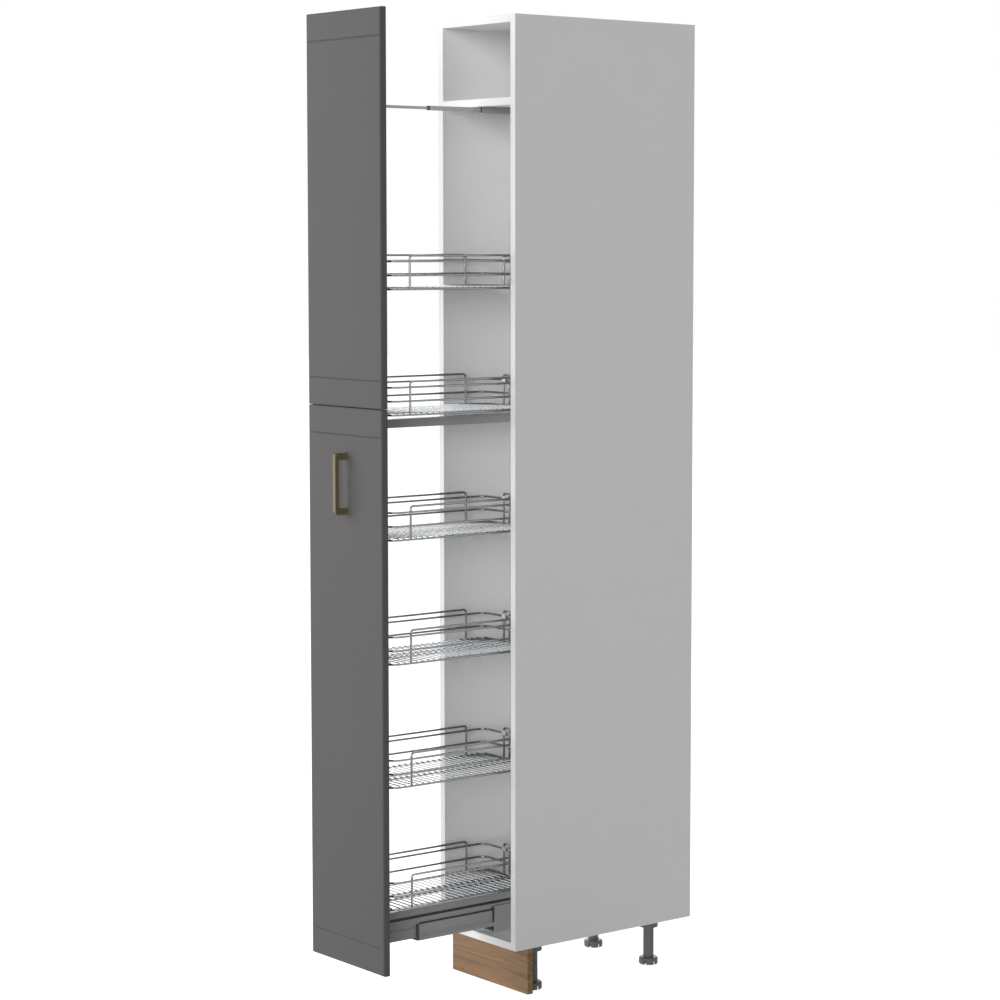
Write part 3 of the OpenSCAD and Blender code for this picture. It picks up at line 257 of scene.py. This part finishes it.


# Small mouldings of the bottom runner and the top guide, and dark pieces that are painted shade in the runner's
# gaps
def moulding(name, outlines_mm, start, length_mm, body):
    """A dark nylon moulding, or a dark piece of painted shade: outlines in X and Z, in mm from start, drawn out
    along Y, with its edges broken.
    """
    mesh = bpy.data.meshes.new(name)
    shape = bmesh.new()
    for outline in outlines_mm:
        corners = [shape.verts.new((start[0] + x * MM, start[1], start[2] + z * MM)) for x, z in outline]
        drawn = bmesh.ops.extrude_face_region(shape, geom=[shape.faces.new(corners)])["geom"]
        bmesh.ops.translate(shape, vec=(0, length_mm * MM, 0),
                            verts=[part for part in drawn if isinstance(part, bmesh.types.BMVert)])
    bmesh.ops.recalc_face_normals(shape, faces=shape.faces[:])
    bmesh.ops.bevel(shape, geom=shape.edges[:], offset=0.5 * MM, offset_type="OFFSET", affect="EDGES",
                    segments=2, profile=0.5, material=-1)
    shape.to_mesh(mesh)
    shape.free()
    mesh.materials.append(dark_nylon_and_painted_shade)
    piece = bpy.data.objects.new(name, mesh)
    scene.collection.objects.link(piece)
    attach(piece, body)


def mirrored(outline):
    """The outline on the other side of the middle."""
    return [(-x, z) for x, z in outline]


def before(node, length_mm):
    """The place length_mm in front of a piece, in the middle at its foot."""
    low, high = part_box(node)
    return Vector(((low.x + high.x) / 2, low.y - length_mm * MM, low.z))


# End cap on the front of the middle member: a U round the inner member's way
MEMBER_HALF, MEMBER_H, CAP_WALL, CAP_FLOOR, CAP_LENGTH = 24.3, 39, 4.7, 3, 6
way_half = MEMBER_HALF - CAP_WALL
moulding("runner_middle_end_cap", [[
    (-MEMBER_HALF, 0), (MEMBER_HALF, 0), (MEMBER_HALF, MEMBER_H), (way_half, MEMBER_H), (way_half, CAP_FLOOR),
    (-way_half, CAP_FLOOR), (-way_half, MEMBER_H), (-MEMBER_HALF, MEMBER_H)]],
    before("runner_middle", CAP_LENGTH), CAP_LENGTH, "runner_slider")

# Dark strips that fill the gap between the inner member and the bottom bar, one on each side of the spacers.
# They are painted shade: a dark filler where the gap is only in shadow.
STRIP_IN, STRIP_OUT, STRIP_PLAY, STRIP_INSET = 8.5, 12, 0.1, 2
low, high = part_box("runner_inner")
strip_top = (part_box("bottom_bar")[0].z - high.z) / MM - STRIP_PLAY
shade_strip_outline = [(STRIP_IN, STRIP_PLAY), (STRIP_OUT, STRIP_PLAY), (STRIP_OUT, strip_top), (STRIP_IN, strip_top)]
moulding("painted_shade_bar_strips", [shade_strip_outline, mirrored(shade_strip_outline)],
         Vector((0, low.y + STRIP_INSET * MM, high.z)), (high.y - low.y) / MM - 2 * STRIP_INSET, "pullout")

# Dark pieces at the front edges of the housing's walls, with a lip at the top that reaches inwards. They are
# painted shade: they darken the gap at the housing's mouth, where shade falls beside the dark ends of the
# cages.
MOUTH_IN, MOUTH_OUT, MOUTH_FOOT, MOUTH_TOP, MOUTH_LENGTH = 25.2, 29.2, 26, 62.5, 3.5
LIP_IN, LIP_FOOT = 21.4, 56.5
mouth_shade_outline = [(MOUTH_IN, MOUTH_FOOT), (MOUTH_OUT, MOUTH_FOOT), (MOUTH_OUT, MOUTH_TOP), (LIP_IN, MOUTH_TOP),
                 (LIP_IN, LIP_FOOT), (MOUTH_IN, LIP_FOOT)]
moulding("runner_mouth_painted_shade", [mouth_shade_outline, mirrored(mouth_shade_outline)],
         before("runner_housing", MOUTH_LENGTH), MOUTH_LENGTH, "carcass")


def end_cap(node, body, flange_mm, web_mm, length_mm):
    """A cap on the front of one of the top guide's channels, whose webs are on the right."""
    low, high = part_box(node)
    wide, tall = (high.x - low.x) / MM, (high.z - low.z) / MM
    moulding(node + "_end_cap", [[
        (0, 0), (wide, 0), (wide, tall), (0, tall), (0, tall - flange_mm), (wide - web_mm, tall - flange_mm),
        (wide - web_mm, flange_mm), (0, flange_mm)]],
        Vector((low.x, low.y - length_mm * MM, low.z)), length_mm, body)


end_cap("guide_rail", "carcass", flange_mm=1.15, web_mm=1.15, length_mm=3)
end_cap("guide_middle", "guide_slider", flange_mm=1.6, web_mm=1.75, length_mm=5)


# Studio
FLOOR_HALF = 30          # metres
LAMPS_AIM_AT = (0, 0, 1.2)

floor_mesh = bpy.data.meshes.new("floor")
shape = bmesh.new()
bmesh.ops.create_grid(shape, x_segments=1, y_segments=1, size=FLOOR_HALF)
shape.to_mesh(floor_mesh)
shape.free()
floor = bpy.data.objects.new("floor", floor_mesh)
scene.collection.objects.link(floor)


def backdrop_rays(tree):
    """1 where the surroundings are seen directly, in metal or through glass, and 0 for the light they give."""
    path = add(tree, "ShaderNodeLightPath").outputs
    seen = add(tree, "ShaderNodeMath", {0: path["Is Camera Ray"], 1: path["Is Glossy Ray"]},
               operation="MAXIMUM").outputs[0]
    return add(tree, "ShaderNodeMath", {0: seen, 1: path["Is Transmission Ray"]},
               operation="MAXIMUM").outputs[0]


# White studio floor: seen directly it shows as white, and it keeps a faint shadow under the cabinet
floor_white, tree, shader, _ = material("white_studio_floor")
shader.inputs["Base Color"].default_value = linear("#D8D8D6")
shader.inputs["Roughness"].default_value = 0.9
shader.inputs["Specular IOR Level"].default_value = 0.1
glow = add(tree, "ShaderNodeEmission", {"Color": linear("#FFFFFF"), "Strength": 0.9})
both = add(tree, "ShaderNodeAddShader", {0: glow.outputs[0], 1: shader.outputs[0]})
choice = add(tree, "ShaderNodeMixShader", {0: backdrop_rays(tree), 1: shader.outputs[0], 2: both.outputs[0]})
tree.links.new(choice.outputs[0], tree.nodes["Material Output"].inputs["Surface"])
floor_mesh.materials.append(floor_white)

world = bpy.data.worlds.new("studio")
scene.world = world
world.use_nodes = True
tree = world.node_tree
lit = add(tree, "ShaderNodeBackground", {"Color": linear("#FFFFFF"), "Strength": 0.05})
backdrop = add(tree, "ShaderNodeBackground", {"Color": linear("#FFFFFF"), "Strength": 1.0})
choice = add(tree, "ShaderNodeMixShader", {0: backdrop_rays(tree), 1: lit.outputs[0], 2: backdrop.outputs[0]})
tree.links.new(choice.outputs[0], tree.nodes["World Output"].inputs["Surface"])


def lamp(name, kind, turn, rise, strength, distance=6.5):
    """A lamp that looks at the cabinet from turn degrees right of its front and rise degrees up."""
    made = bpy.data.lights.new(name, kind)
    made.energy = strength
    across, up = math.radians(turn), math.radians(rise)
    away = Vector((math.sin(across) * math.cos(up), -math.cos(across) * math.cos(up), math.sin(up)))
    piece = bpy.data.objects.new(name, made)
    scene.collection.objects.link(piece)
    piece.location = Vector(LAMPS_AIM_AT) + away * distance
    piece.rotation_euler = (-away).to_track_quat("-Z", "Y").to_euler()
    return made


key = lamp("front_softbox", "AREA", -45, 11, 256, distance=6)
key.shape = "RECTANGLE"
key.size, key.size_y = 4.5, 5.0
fill = lamp("side_reflector", "SUN", 40, 7, 1.56)
fill.angle = math.radians(28)
rim = lamp("rear_reflector", "SUN", -130, 25, 1.3)
rim.angle = math.radians(40)
